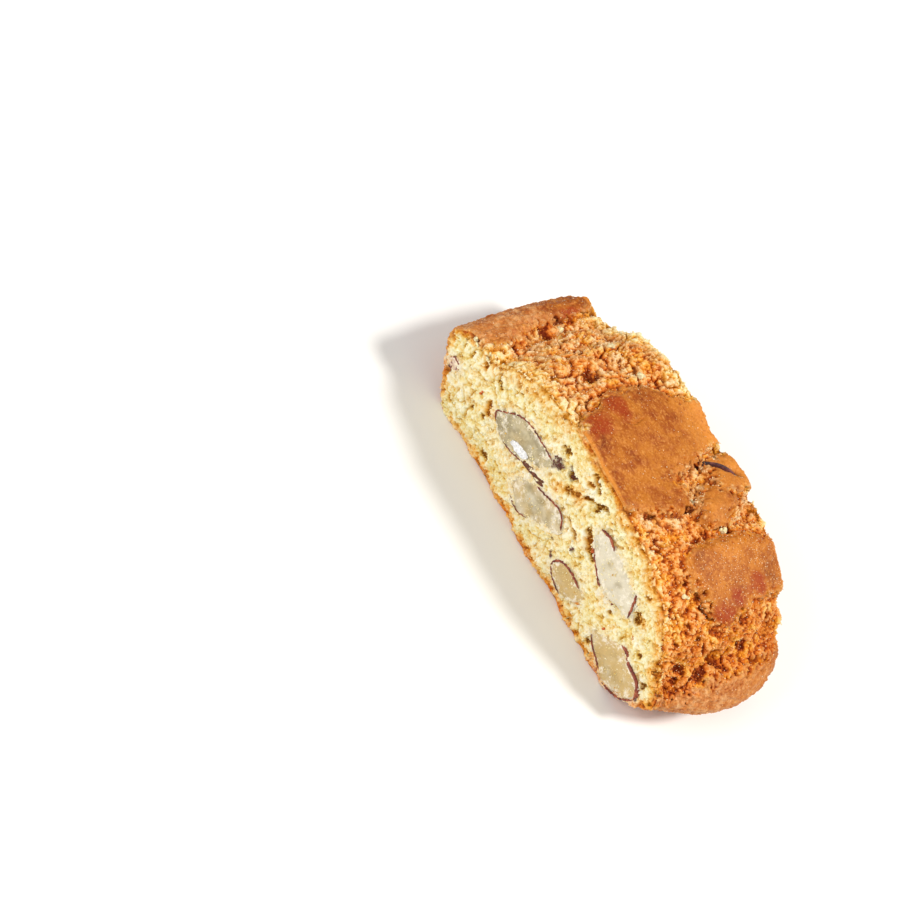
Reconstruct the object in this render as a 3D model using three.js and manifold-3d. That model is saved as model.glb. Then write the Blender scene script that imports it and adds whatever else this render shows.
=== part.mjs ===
// One almond biscotto: a twice-baked slice of a free-form loaf, in millimetres, +Z up.
// X runs along the slice, its cut faces look along -Y (front) and +Y (back), and it rests on its flat base.
// The crumb and its browned crust are one solid. Each almond that a cut or the crust lays open is its own
// solid.

import * as THREE from 'three';
import { mergeVertices } from 'three/addons/utils/BufferGeometryUtils.js';
import { ImprovedNoise } from 'three/addons/math/ImprovedNoise.js';
import Module from 'manifold-3d';

const wasm = await Module();
wasm.setup();
const { smoothstep, lerp, degToRad } = THREE.MathUtils;

// Driving dimensions
const sliceThickness = 32;
const domeHeight = 31;
const footLeft = -34.5;
const footRight = 31;
const footSkew = 6;
const endBow = { left: 0.8, right: 4.2, middle: 2, reach: 14.5 };
const smoothFlankHeight = 9;
const plateEdge = 1;
const almondGap = 0.35;
const cells = { along: 48, across: 17, up: 14 };

// The loaf's outline, seen from the front: two rounded ends that bulge past the foot, and the dome.
const leftEnd = [[footLeft, 0], [-39, 4.8], [-42.3, 9.4], [-43.3, 13.2], [-40.9, 17.3]];
const dome = [
  [-40.9, 17.3], [-34, 20.8], [-26, 26.6], [-18.9, 29.4], [-9, domeHeight - 0.2], [4, domeHeight - 0.6],
  [15.3, domeHeight], [22.5, 28.7], [31.2, 24.2], [37, 18], [40, 13.6],
];
const rightEnd = [[footRight, 0], [35.8, 3.2], [39.6, 7], [41.2, 10.4], [40, 13.6]];

// Smooth plates of crust, as outlines in plan. Between them the crust has torn and shows rough crumb.
const plates = [
  { rise: 0.9, outline: [[-60, -30], [-36, -30], [-35, -12], [-38.2, 1], [-38, 30], [-60, 30]] },
  {
    rise: 1.1,
    outline: [
      [-10.5, -30], [-10.8, -15.5], [-14, -9], [-16.2, -2.5], [-15.4, 4.4], [-11.8, 9.2], [-9, 30],
      [1.4, 30], [0.5, 15], [3.8, 0], [8.8, 1.8], [10.8, -1.2], [9.2, -10.5], [6.6, -15], [5.5, -30],
    ],
  },
  {
    rise: 1.9,
    outline: [
      [1.8, 10.6], [3, 30], [12.5, 30], [11, 16], [14.2, 8.8], [15.9, 4.7],
      [15.3, 0.1], [12.7, 0], [10.2, 2.9], [7.6, 6.6],
    ],
  },
  {
    rise: 1.3,
    outline: [
      [19.3, -6.9], [17.6, 0.5], [19.2, 8.4], [21.5, 30], [30.6, 30], [30.6, 13],
      [31.2, 4.5], [34.3, -2.2], [32.3, -4.5], [27.1, -6.9], [22.7, -8.9],
    ],
  },
  { rise: 0.9, outline: [[40, -30], [41.3, 1.5], [38.8, 14.7], [37.5, 30], [60, 30], [60, -30]] },
];

// Cracks that follow the plates' edges, as lines in plan.
const cracks = [
  { depth: 1.6, width: 1.7, line: [[-32.6, -13.5], [-33.2, -9.5], [-36, -3], [-36, 5], [-35.5, 10]] },
  { depth: 1.6, width: 1.4, line: [[2.2, 13], [3.4, 8], [6.4, 4.6], [10, 0.6], [12.3, -3.2]] },
  { depth: 1.6, width: 1.8, line: [[14.6, -15.5], [14.4, -9.4], [17.2, -2.4], [17.4, 5], [13, 17]] },
  { depth: 1.7, width: 2, line: [[38.5, -13.5], [38.4, -6], [38.2, 1], [37.4, 7], [35.5, 12]] },
  { depth: 1.3, width: 2, line: [[-19, -9], [-21.5, -3], [-22, 4]] },
];

// Gentle swells and dips of the dome in plan.
const swells = [
  { x: -21, y: 15, reach: 8, rise: 1.1 },
  { x: -2, y: 18, reach: 8, rise: -2.9 },
  { x: 18, y: 18, reach: 6, rise: -1.5 },
  { x: 28, y: 18, reach: 6, rise: -1 },
  { x: 34, y: 8, reach: 5, rise: 1 },
];

// Pits where crumb has fallen out of a cut face, and nubs, of negative depth, where it stands out. The front
// face is -1 and the back 1.
const pits = [
  { face: -1, x: -6.6, z: 21.4, size: 2.4, depth: 1.5 },
  { face: -1, x: 1.6, z: 23.6, size: 2.6, depth: 1.7 },
  { face: -1, x: 26.2, z: 19.6, size: 2.2, depth: 1.5 },
  { face: -1, x: 14.9, z: 4.6, size: 2, depth: 1.2 },
  { face: -1, x: -33, z: 2, size: 5, depth: -0.8 },
  { face: 1, x: -8, z: 12, size: 2.6, depth: 1.6 },
  { face: 1, x: 13, z: 23, size: 2.4, depth: 1.5 },
  { face: 1, x: 30, z: 2, size: 5, depth: -1.1 },
];

// Almonds laid open by a cut: middle on the face, length, width, turn of the pointed end, and depth behind
// the cut.
const cutAlmonds = [
  { name: 'almond_front_1', face: -1, x: -17.2, z: 14.9, length: 17, width: 8.2, turn: 26, depth: 4.6 },
  { name: 'almond_front_2', face: -1, x: -5, z: 9, length: 15.2, width: 7.2, turn: 25, depth: 4 },
  { name: 'almond_front_3', face: -1, x: 15.2, z: 18.7, length: 17.2, width: 7.2, turn: -17, depth: 4.8 },
  { name: 'almond_front_4', face: -1, x: 10, z: 5.8, length: 9.6, width: 5, turn: 195, depth: 3.4 },
  { name: 'almond_front_5', face: -1, x: 28.7, z: 6.4, length: 16, width: 8, turn: 181, depth: 4.4 },
  { name: 'almond_front_6', face: -1, x: -38.3, z: 8.9, length: 3.6, width: 2.4, turn: 60, depth: 1.2 },
  { name: 'almond_back_1', face: 1, x: 24.5, z: 12.4, length: 16.6, width: 8.2, turn: 152, depth: 4.4 },
  { name: 'almond_back_2', face: 1, x: 1.2, z: 19.4, length: 15.6, width: 8, turn: 12, depth: 4 },
  { name: 'almond_back_3', face: 1, x: -22.6, z: 13.4, length: 17.2, width: 8.4, turn: 38, depth: 4.6 },
  { name: 'almond_back_4', face: 1, x: 5.4, z: 6.2, length: 12.4, width: 6, turn: 172, depth: 3.2 },
];

// An almond on edge under the crust, its skin just level with it.
const crustAlmond = {
  name: 'almond_crust', x: 5.6, y: 12.2, z: 26.6, length: 10, width: 7.8, thickness: 2, turn: 46,
};

const colours = { biscuit: 0xd08a45, almond: 0xcfc3a0, skin: 0x6e3a26 };

const noise = new ImprovedNoise();

// Uneven relief between about -1 and 1, in lumps about `size` across.
function lumps(point, size, seed) {
  return 1.4 * noise.noise(point.x / size + seed, point.y / size, point.z / size - seed);
}

function outlineCurve(points) {
  return new THREE.SplineCurve(points.map(([x, z]) => new THREE.Vector2(x, z)));
}

const curves = { left: outlineCurve(leftEnd), top: outlineCurve(dome), right: outlineCurve(rightEnd) };

// A point inside the loaf's outline: u runs from the left end to the right, w from the base to the dome.
function sectionPoint(u, w) {
  const base = new THREE.Vector2(lerp(footLeft, footRight, u), 0);
  const point = base.multiplyScalar(1 - w).addScaledVector(curves.top.getPointAt(u), w);
  point.addScaledVector(curves.left.getPointAt(w), 1 - u).addScaledVector(curves.right.getPointAt(w), u);
  const corners = [
    { at: leftEnd[0], share: (1 - u) * (1 - w) },
    { at: rightEnd[0], share: u * (1 - w) },
    { at: dome[0], share: (1 - u) * w },
    { at: dome.at(-1), share: u * w },
  ];
  for (const { at, share } of corners) point.sub(new THREE.Vector2(...at).multiplyScalar(share));
  return point;
}

// How far the ends bow out in plan, and how the right foot reaches further towards the back.
function bowAt(u, v, w) {
  const y = (v - 0.5) * sliceThickness;
  const right = Math.max(-0.2, 1 - ((y - endBow.middle) / endBow.reach) ** 2) * endBow.right;
  const left = (1 - (2 * v - 1) ** 2) * endBow.left;
  const foot = footSkew * u * v * (1 - w) ** 2;
  return Math.max(0, 2 * u - 1) * right - Math.max(0, 1 - 2 * u) * left + foot;
}

function distanceToLine(x, y, line) {
  const target = new THREE.Vector3(x, y, 0);
  const nearest = new THREE.Vector3();
  let best = Infinity;
  for (let i = 0; i < line.length - 1; i++) {
    const stretch = new THREE.Line3(new THREE.Vector3(...line[i], 0), new THREE.Vector3(...line[i + 1], 0));
    stretch.closestPointToPoint(target, true, nearest);
    best = Math.min(best, nearest.distanceTo(target));
  }
  return best;
}

// Distance from a closed outline, positive inside it.
function depthInside(x, y, outline) {
  let inside = false;
  outline.forEach(([xa, ya], i) => {
    const [xb, yb] = outline.at(i - 1);
    if (ya > y !== yb > y && x < ((xb - xa) * (y - ya)) / (yb - ya) + xa) inside = !inside;
  });
  const distance = distanceToLine(x, y, [...outline, outline[0]]);
  return inside ? distance : -distance;
}

// How far the crust stands out: smooth plates, lumpy torn crumb between them, cracks, and plain low flanks.
function crustRelief(point) {
  const { x, y, z } = point;
  let plate = 0;
  for (const { rise, outline } of plates) {
    plate = Math.max(plate, rise * smoothstep(depthInside(x, y, outline), -plateEdge, plateEdge));
  }
  const torn = 1 - Math.min(1, plate);
  let relief = plate - 0.9 + torn * (0.9 * lumps(point, 4, 7) + 0.6 * lumps(point, 7.5, 1));
  for (const { depth, width, line } of cracks) {
    relief -= depth * Math.exp(-((distanceToLine(x, y, line) / width) ** 2));
  }
  for (const swell of swells) {
    const away = ((x - swell.x) / swell.reach) ** 2 + ((y - swell.y) / swell.reach) ** 2;
    relief += swell.rise * Math.exp(-away);
  }
  const upper = smoothstep(z, smoothFlankHeight, smoothFlankHeight + 3);
  return upper * relief + 0.3 * lumps(point, 9, 3);
}

// How far a cut face stands out: lumpy crumb with pits and nubs.
function crumbRelief(point, face) {
  let relief = 0.4 * lumps(point, 7, 11) + 0.45 * lumps(point, 3.6, 5);
  for (const pit of pits.filter((each) => each.face === face)) {
    const away = ((point.x - pit.x) / pit.size) ** 2 + ((point.z - pit.z) / pit.size) ** 2;
    relief -= pit.depth * Math.exp(-away);
  }
  return relief;
}

// The smooth slice, as a box of cells bent to the loaf's outline, with each vertex's place in the box.
function smoothSlice() {
  const box = new THREE.BoxGeometry(1, 1, 1, cells.along, cells.across, cells.up);
  box.deleteAttribute('normal');
  box.deleteAttribute('uv');
  const slice = mergeVertices(box, 1e-4);
  const position = slice.attributes.position;
  const places = [];
  for (let i = 0; i < position.count; i++) {
    const place = new THREE.Vector3().fromBufferAttribute(position, i).addScalar(0.5);
    const { x, y: z } = sectionPoint(place.x, place.z);
    const y = (place.y - 0.5) * sliceThickness;
    position.setXYZ(i, x + bowAt(place.x, place.y, place.z), y, z);
    places.push(place);
  }
  slice.computeVertexNormals();
  return { slice, places };
}

// The slice with its relief. The base stays flat, and nothing reaches below it.
function roughSlice() {
  const { slice, places } = smoothSlice();
  const { position, normal } = slice.attributes;
  const near = (value, target) => Math.abs(value - target) < 1e-6;
  places.forEach((place, i) => {
    const point = new THREE.Vector3().fromBufferAttribute(position, i);
    const out = new THREE.Vector3().fromBufferAttribute(normal, i);
    const face = near(place.y, 0) ? -1 : near(place.y, 1) ? 1 : 0;
    const onCrust = near(place.z, 1) || near(place.x, 0) || near(place.x, 1);
    const onBase = near(place.z, 0);
    if (face) out.setY(0);
    out.multiplyScalar(onCrust ? crustRelief(point) : 0);
    if (face) out.y += face * crumbRelief(point, face) * (onCrust ? 0.5 : 1);
    point.add(out);
    position.setXYZ(i, point.x, point.y, onBase ? 0 : Math.max(point.z, 0.2));
  });
  slice.deleteAttribute('normal');
  return slice;
}

// A kernel along X, rounded at one end and pointed at the other. It reaches `inward` behind Y = 0 and
// `outward` before it.
function kernelShape(length, width, inward, outward) {
  const kernel = new THREE.SphereGeometry(1, 12, 8).rotateZ(Math.PI / 2);
  const position = kernel.attributes.position;
  for (let i = 0; i < position.count; i++) {
    const [x, y, z] = [position.getX(i), position.getY(i), position.getZ(i)];
    const taper = 1 - 0.28 * x - 0.12 * x * x;
    position.setXYZ(i, (x * length) / 2, y * taper * (y > 0 ? inward : outward), (z * taper * width) / 2);
  }
  return kernel;
}

// A kernel that a cut has opened, its cut side almost flush. `grow` makes the larger form that clears its
// pocket.
function cutAlmond({ face, x, z, length, width, turn, depth }, grow = 0) {
  const outward = grow ? 3.5 : 0.35;
  const kernel = kernelShape(length + 2 * grow, width + 2 * grow, depth + grow, outward);
  kernel.rotateY(-degToRad(turn));
  if (face > 0) mirrorAcrossY(kernel);
  return kernel.translate(x, (face * sliceThickness) / 2, z);
}

function edgeAlmond({ x, y, z, length, width, thickness, turn }, grow = 0) {
  const half = thickness / 2 + grow;
  const kernel = kernelShape(length + 2 * grow, width + 2 * grow, half, half);
  return kernel.rotateZ(degToRad(turn)).translate(x, y, z);
}

function mirrorAcrossY(geometry) {
  geometry.scale(1, -1, 1);
  const { array } = geometry.index;
  for (let i = 0; i < array.length; i += 3) [array[i], array[i + 1]] = [array[i + 1], array[i]];
}

function solidOf(geometry) {
  const bare = geometry.clone();
  bare.deleteAttribute('normal');
  bare.deleteAttribute('uv');
  const { attributes, index } = mergeVertices(bare, 1e-4);
  const vertProperties = new Float32Array(attributes.position.array);
  const triVerts = new Uint32Array(index.array);
  return new wasm.Manifold(new wasm.Mesh({ numProp: 3, vertProperties, triVerts }));
}

function geometryOf(solid) {
  const { vertProperties, triVerts } = solid.getMesh();
  const geometry = new THREE.BufferGeometry();
  geometry.setAttribute('position', new THREE.BufferAttribute(vertProperties, 3));
  geometry.setIndex(new THREE.BufferAttribute(triVerts, 1));
  geometry.computeVertexNormals();
  return geometry;
}

const biscotto = new THREE.Group();

function addPiece(name, solid, color, roughness) {
  const material = new THREE.MeshStandardMaterial({ color, roughness, metalness: 0 });
  const piece = new THREE.Mesh(geometryOf(solid), material);
  piece.name = name;
  biscotto.add(piece);
}

// The crumb and crust, with a pocket for each almond.
const cutPockets = cutAlmonds.map((almond) => cutAlmond(almond, almondGap));
const pockets = [...cutPockets, edgeAlmond(crustAlmond, almondGap)];
const biscuit = pockets.reduce((body, pocket) => body.subtract(solidOf(pocket)), solidOf(roughSlice()));
addPiece('biscuit', biscuit, colours.biscuit, 0.8);

// The almonds
for (const almond of cutAlmonds) addPiece(almond.name, solidOf(cutAlmond(almond)), colours.almond, 0.6);
addPiece(crustAlmond.name, solidOf(edgeAlmond(crustAlmond)), colours.skin, 0.7);

// The origin is at the middle of the base.
const middle = new THREE.Box3().setFromObject(biscotto).getCenter(new THREE.Vector3());
biscotto.position.set(-middle.x, -middle.y, 0);

export default biscotto;
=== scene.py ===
import math

import bmesh
import bpy
import numpy as np
from mathutils import Matrix, Vector, noise
from mathutils.bvhtree import BVHTree


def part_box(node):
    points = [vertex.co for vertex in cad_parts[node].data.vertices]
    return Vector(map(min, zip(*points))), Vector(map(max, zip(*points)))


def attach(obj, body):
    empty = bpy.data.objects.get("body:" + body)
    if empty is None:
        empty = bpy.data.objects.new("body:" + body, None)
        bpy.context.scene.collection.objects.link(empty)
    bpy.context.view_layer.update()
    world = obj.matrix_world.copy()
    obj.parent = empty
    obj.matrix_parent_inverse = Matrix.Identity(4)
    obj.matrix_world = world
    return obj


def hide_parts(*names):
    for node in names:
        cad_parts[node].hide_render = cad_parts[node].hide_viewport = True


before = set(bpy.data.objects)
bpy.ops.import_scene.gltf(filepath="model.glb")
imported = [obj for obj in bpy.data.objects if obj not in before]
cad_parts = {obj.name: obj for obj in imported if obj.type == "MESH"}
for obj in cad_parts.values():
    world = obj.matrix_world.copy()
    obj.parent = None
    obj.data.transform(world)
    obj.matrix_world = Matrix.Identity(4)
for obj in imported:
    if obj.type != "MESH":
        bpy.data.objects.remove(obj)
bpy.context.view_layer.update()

# Camera
# The slice is seen steeply from above its front cut face, running from the upper left to the lower right,
# so the camera is rolled. It stands far away behind a long lens.
mm = 0.001
slice_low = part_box("biscuit")[0]
loaf_middle = Vector((slice_low.x + 44.12 * mm, slice_low.y + 17.05 * mm, 0))
camera_right = Vector((0.4733, 0.7367, 0.4830))
camera_up = Vector((-0.8467, 0.2291, 0.4802))
camera_back = camera_right.cross(camera_up)
photo_side, focal_px = 900, 3000
aim = loaf_middle + Vector((0, 0, 11.3 * mm))
aim_px = (613, 505)
aim_distance = 588.2 * mm

camera_data = bpy.data.cameras.new("camera")
camera_data.sensor_width = 36
camera_data.lens = 36 * focal_px / photo_side
camera_data.clip_start, camera_data.clip_end = 0.01, 10
camera = bpy.data.objects.new("camera", camera_data)
bpy.context.scene.collection.objects.link(camera)
bpy.context.scene.camera = camera
across = (aim_px[0] - photo_side / 2) / focal_px * aim_distance
above = (photo_side / 2 - aim_px[1]) / focal_px * aim_distance
camera_place = aim + camera_back * aim_distance - camera_right * across - camera_up * above
camera_turn = Matrix((camera_right, camera_up, camera_back)).transposed().to_4x4()
camera.matrix_world = Matrix.Translation(camera_place) @ camera_turn

# Floor and light
# A white table under big soft lamps: one high at the right of the view, and a broad fill on the cut face.
view = bpy.context.scene.view_settings
view.view_transform = "Standard"
view.look = "None"

world = bpy.data.worlds.new("studio")
bpy.context.scene.world = world
world.use_nodes = True
world.node_tree.nodes["Background"].inputs["Color"].default_value = (1, 0.985, 0.96, 1)
world.node_tree.nodes["Background"].inputs["Strength"].default_value = 0.42


def lamp(name, direction, distance, size, watts, colour):
    data = bpy.data.lights.new(name, "AREA")
    data.shape, data.size, data.energy, data.color = "DISK", size, watts, colour
    obj = bpy.data.objects.new(name, data)
    bpy.context.scene.collection.objects.link(obj)
    obj.location = aim + direction.normalized() * distance
    obj.rotation_euler = direction.to_track_quat("Z", "Y").to_euler()


key_direction = camera_right + camera_up * 0.15 + camera_back * 0.55
fill_direction = Vector((-0.2, -0.85, 0.5))
lamp("key", key_direction, 0.9, 0.2, 6.4, (1, 0.97, 0.92))
lamp("fill", fill_direction, 0.9, 0.6, 4.4, (1, 0.985, 0.97))

floor_mesh = bpy.data.meshes.new("floor")
floor_bm = bmesh.new()
bmesh.ops.create_grid(floor_bm, x_segments=1, y_segments=1, size=3)
floor_bm.to_mesh(floor_mesh)
floor_bm.free()
floor = bpy.data.objects.new("floor", floor_mesh)
bpy.context.scene.collection.objects.link(floor)
floor_finish = bpy.data.materials.new("floor")
floor_finish.use_nodes = True
floor_shader = floor_finish.node_tree.nodes["Principled BSDF"]
floor_shader.inputs["Base Color"].default_value = (0.93, 0.93, 0.92, 1)
floor_shader.inputs["Roughness"].default_value = 0.9
floor.data.materials.append(floor_finish)

# Crust and crumb
# One piece of twice-baked almond dough. Its smooth crust cracked into plates as the loaf rose, with rough
# browned crumb between them, and its two cut faces show pale open crumb, golden where it nears the crust.
# Places are in mm from the loaf's middle: x along the slice, y from the front face to the back, z up.
voxel = 0.215 * mm
face_at = 16.0

plates = {
    "left band": [(-60, -30), (-36, -30), (-36.4, -16), (-35, -12.3), (-35.5, -8), (-37.6, -3.4), (-38.2, 1),
                  (-37.9, 7), (-38, 30), (-60, 30)],
    "wide plate": [(-10.5, -30), (-10.8, -15.5), (-14, -9), (-16.2, -2.5), (-15.4, 4.4), (-11.8, 9.2),
                   (-9.6, 14), (-9, 30), (1.4, 30), (0.5, 15), (1.2, 10), (3.8, 0), (6.4, -1.6), (8.8, 1.8),
                   (10.8, -1.2), (10.2, -6), (9.2, -10.5), (6.6, -15), (5.5, -30)],
    "flap": [(1.8, 10.6), (2.6, 14.8), (3, 30), (12.5, 30), (11, 16), (10.8, 10.4), (9.2, 8.8), (7.2, 8.2)],
    "lobe": [(7.6, 6.6), (9.8, 8), (11.9, 10.6), (14.2, 8.8), (15.9, 4.7), (15.3, 0.1), (12.7, 0),
             (10.2, 2.9)],
    "narrow plate": [(19.3, -6.9), (17.6, 0.5), (18.4, 4.1), (19.2, 8.4), (21, 14.6), (21.5, 30), (30.6, 30),
                     (30.6, 13), (31.2, 4.5), (33.2, 0.7), (34.3, -2.2), (32.3, -4.5), (27.1, -6.9),
                     (22.7, -8.9)],
    "right band": [(40, -30), (39.8, -12.7), (40.4, -9.7), (41, -3.5), (41.3, 1.5), (41, 7.7), (38.8, 14.7),
                   (37.5, 30), (60, 30), (60, -30)],
}
# Holes and gaps as x, y, z, reach and depth
crust_holes = [
    (-35.9, 0.6, 17.9, 2, 1), (-33.9, -9.6, 19.6, 1.5, 1.1), (-31.9, -14.3, 19.9, 0.9, 0.8),
    (-37.6, 6.1, 18.5, 1.3, 0.6), (-29.8, 3.8, 23, 1.2, 1), (-21.7, -2.9, 26.8, 2.4, 1.2),
    (-19.1, -11.4, 27.9, 1.2, 0.9), (2.4, 11, 28.4, 0.7, 0.9), (17.2, 6.3, 29.2, 1, 1.1),
    (16.6, -0.8, 30, 1, 0.9), (11, -0.6, 29.2, 1.1, 1), (6.4, 3.4, 28.6, 0.9, 0.7),
    (8.5, -15.2, 30.8, 1.2, 0.7), (26.9, -6.8, 26.6, 1.3, 0.9), (37.7, -2.9, 18.3, 2.1, 1.4),
    (39.1, -7.4, 16.6, 1.6, 1.2), (36.2, -10.9, 16.2, 1.6, 1.1), (37.6, 3.2, 19.8, 1.6, 1.1),
    (31.1, -10.5, 24.2, 0.9, 0.7), (33.3, -8.4, 22.6, 1.1, 0.7), (27.3, -13.9, 25.6, 0.9, 0.6),
]
crumb_holes = [
    (-0.7, -16, 25.6, 0.9, 0.9), (2, -16, 22.8, 1.6, 1.2), (6.9, -16, 17.9, 1.2, 0.6),
    (14.7, -16, 4, 1.1, 1), (21.8, -16, 2.6, 1, 0.8), (25, -16, 18, 1.5, 1.3), (20.4, -16, 12.9, 0.8, 0.7),
    (30.5, -16, 14, 0.9, 0.8), (23.1, -16, 24.5, 0.7, 0.5), (35.5, -16, 10.5, 1, 0.9),
    (-9.1, -16, 24.5, 1.3, 1), (-5.4, -16, 21, 1.2, 1), (-26.2, -16, 8.8, 0.9, 0.8),
    (-29.6, -16, 7.1, 0.8, 0.5), (-20.7, -16, 2.8, 1.1, 0.7), (-8, 16, 12, 1.5, 0.8), (13, 16, 23, 1.5, 1),
    (-30, 16, 18, 1.2, 0.9), (32, 16, 20, 1.3, 0.9), (-15, 16, 24, 1, 0.8), (6, 16, 26.5, 0.9, 0.7),
    (-34, 16, 8, 1.2, 0.8), (17, 16, 4, 1.1, 0.8),
]
# Hollows that the solid slice already has, as face side, x, z and size
solid_hollows = [
    (-1, -6.6, 21.4, 2.4), (-1, 1.6, 23.6, 2.6), (-1, 26.2, 19.6, 2.2), (-1, 14.9, 4.6, 2),
    (1, -8, 12, 2.6), (1, 13, 23, 2.4), (-1, -33, 2, 5), (1, 30, 2, 5),
]
# Narrow gaps in the front cut face, as depth, half width and a line in x and z
crumb_gaps = [
    (1.6, 0.42, [(-0.3, 21.8), (1.2, 22.6), (2.7, 23.3), (4.4, 25.3)]),
    (1.0, 0.6, [(-1.5, 28.1), (-0.2, 27.2), (0.8, 25.9)]), (1.1, 0.7, [(5.4, 18.4), (7, 17.2), (10, 15.4)]),
    (0.6, 0.4, [(1.1, 15.3), (2.5, 15.1), (4.4, 14.8)]), (1.2, 0.5, [(-5.7, 21), (-4, 22.4)]),
    (0.7, 0.8, [(-3.8, 19), (-1.7, 21)]), (0.9, 0.5, [(-9.8, 24.4), (-8.2, 24.7)]),
    (0.9, 0.6, [(-27.4, 12), (-25.8, 10.4)]),
    (0.8, 0.5, [(-33.9, 16.6), (-32.2, 15.4)]), (0.7, 0.6, [(-29.6, 18.8), (-27.6, 17.2)]),
]
# Lumps that stand proud at the back rim and in the gap beside the flap, as x, y, z, reach and height
proud_lumps = [(31.8, 15, 24.3, 1.7, 1), (35.8, 14.8, 20.8, 1.8, 1), (-14.5, 14.8, 28.6, 1.4, 0.6),
               (5, 6.4, 28, 2.2, 1.3), (7.4, 4.6, 28, 1.6, 0.8)]
# Hollows in the front cut face where shade is painted into the crumb as a more golden tone, as x, y, z and
# reach
painted_shade_hollows = [(-1.5, -16, 20.6, 3.4), (-4.8, -16, 17.8, 2.6), (7.4, -16, 16.8, 2.8),
                  (25.5, -16, 18.2, 2.2), (-26.5, -16, 11, 2.6), (-33, -16, 16, 2.2), (-30, -16, 19.5, 2.6),
                  (-1, -16, 26.5, 2)]
red_patches = [(28.7, 7.1, 4.2), (32, -3.1, 4.4), (29.9, 1.6, 3.4), (-10, -11.5, 5), (-12.5, -5, 5),
               (-36.8, 9.5, 5)]
golden_patches = [(13, 4.5, 5), (8, 12.4, 4.5), (20, 2, 5)]
crack = [(-8.9, -5), (-8.2, -3.4), (-8.5, -1.9), (-8.7, -0.6)]
flap_slit = [(3.2, 10), (7.6, 14.3)]


def ramp(value, low, high):
    """Smooth step from 0 at low to 1 at high."""
    t = np.clip((value - low) / (high - low), 0, 1)
    return t * t * (3 - 2 * t)


def away_from_line(xy, line):
    """Distance of points in plan from an open line."""
    nearest = np.full(len(xy), np.inf)
    for a, b in zip(np.array(line[:-1]), np.array(line[1:])):
        along = np.clip(((xy - a) @ (b - a)) / ((b - a) @ (b - a)), 0, 1)
        nearest = np.minimum(nearest, np.linalg.norm(xy - a - along[:, None] * (b - a), axis=1))
    return nearest


def depth_inside(xy, outline):
    """Distance of points in plan from a closed outline, positive inside it."""
    inside = np.zeros(len(xy), bool)
    for (xa, ya), (xb, yb) in zip(outline, outline[1:] + outline[:1]):
        crosses = (ya > xy[:, 1]) != (yb > xy[:, 1])
        inside ^= crosses & (xy[:, 0] < (xb - xa) * (xy[:, 1] - ya) / (yb - ya + 1e-9) + xa)
    nearest = away_from_line(xy, outline + outline[:1])
    return np.where(inside, nearest, -nearest)


def waves(places, size, seed, octaves=1):
    """Soft uneven relief, about -1 to 1, with swells about size mm across."""
    shift = Vector((seed * 3.1, seed * 7.7, seed * 1.3))
    return np.array([noise.fractal(Vector(p) / size + shift, 0.6, 2.1, octaves) for p in places])


def clods(places, size, seed):
    """Height from 0 to 1 of rounded clods about size mm across."""
    shift = Vector((seed * 5.3, seed * 2.9, seed * 9.1))
    away = np.array([noise.voronoi(Vector(p) / size + shift)[0][0] for p in places])
    return np.sqrt(np.clip(1 - (away / 0.8) ** 2, 0, 1))


def merged_copy(node):
    """A CAD node's mesh as a bmesh with its loose triangles merged."""
    bm = bmesh.new()
    bm.from_mesh(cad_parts[node].data)
    bmesh.ops.remove_doubles(bm, verts=bm.verts, dist=0.005 * mm)
    return bm


almond_boxes = {name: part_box(name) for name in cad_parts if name.startswith("almond")}


def in_hollow(point):
    """Whether a point lies at an almond's pocket or at a hollow in a cut face."""
    room = 0.6 * mm
    for low, high in almond_boxes.values():
        if all(low[i] - room < point[i] < high[i] + room for i in range(3)):
            return True
    x, y, z = (point - loaf_middle) / mm
    return any(y * side > 12 and math.hypot(x - hx, z - hz) < size * 0.8
               for side, hx, hz, size in solid_hollows)


# The pockets are filled with swollen kernels, and the form gets a fine even skin of small faces.
slice_bm = merged_copy("biscuit")
skin_faces = [f for f in slice_bm.faces if abs(f.normal.y) < 0.75 and not in_hollow(f.calc_center_median())]
skin_points = [tuple(v.co) for f in skin_faces for v in f.verts]
crust_tree = BVHTree.FromPolygons(skin_points,
                                  [tuple(range(3 * i, 3 * i + 3)) for i in range(len(skin_faces))])
filling_mesh = bpy.data.meshes.new("filling")
for name in almond_boxes:
    filling = merged_copy(name)
    filling.normal_update()
    for v in filling.verts:
        v.co += v.normal * 0.6 * mm
        v.co.y = max(-face_at * mm, min(face_at * mm, v.co.y - loaf_middle.y)) + loaf_middle.y
    filling.to_mesh(filling_mesh)
    filling.free()
    slice_bm.from_mesh(filling_mesh)
slice_mesh = bpy.data.meshes.new("slice")
slice_bm.to_mesh(slice_mesh)
slice_bm.free()
slice_form = bpy.data.objects.new("slice", slice_mesh)
bpy.context.scene.collection.objects.link(slice_form)
skin = slice_form.modifiers.new("skin", "REMESH")
skin.mode, skin.voxel_size, skin.use_smooth_shade = "VOXEL", voxel, True
settle = slice_form.modifiers.new("settle", "SMOOTH")
settle.factor, settle.iterations = 0.5, 22
bpy.context.view_layer.update()
fine = bpy.data.meshes.new_from_object(slice_form.evaluated_get(bpy.context.evaluated_depsgraph_get()))
bpy.data.objects.remove(slice_form)

# The new skin leaves a few tiny loose shells at the rims: only the slice itself stays.
skin_bm = bmesh.new()
skin_bm.from_mesh(fine)
unseen, shells = set(skin_bm.verts), []
while unseen:
    stack, shell = [unseen.pop()], []
    while stack:
        shell.append(stack.pop())
        for edge in shell[-1].link_edges:
            other = edge.other_vert(shell[-1])
            if other in unseen:
                unseen.remove(other)
                stack.append(other)
    shells.append(shell)
loose = [v for shell in sorted(shells, key=len)[:-1] for v in shell]
bmesh.ops.delete(skin_bm, geom=loose, context="VERTS")
skin_bm.to_mesh(fine)
skin_bm.free()

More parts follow.
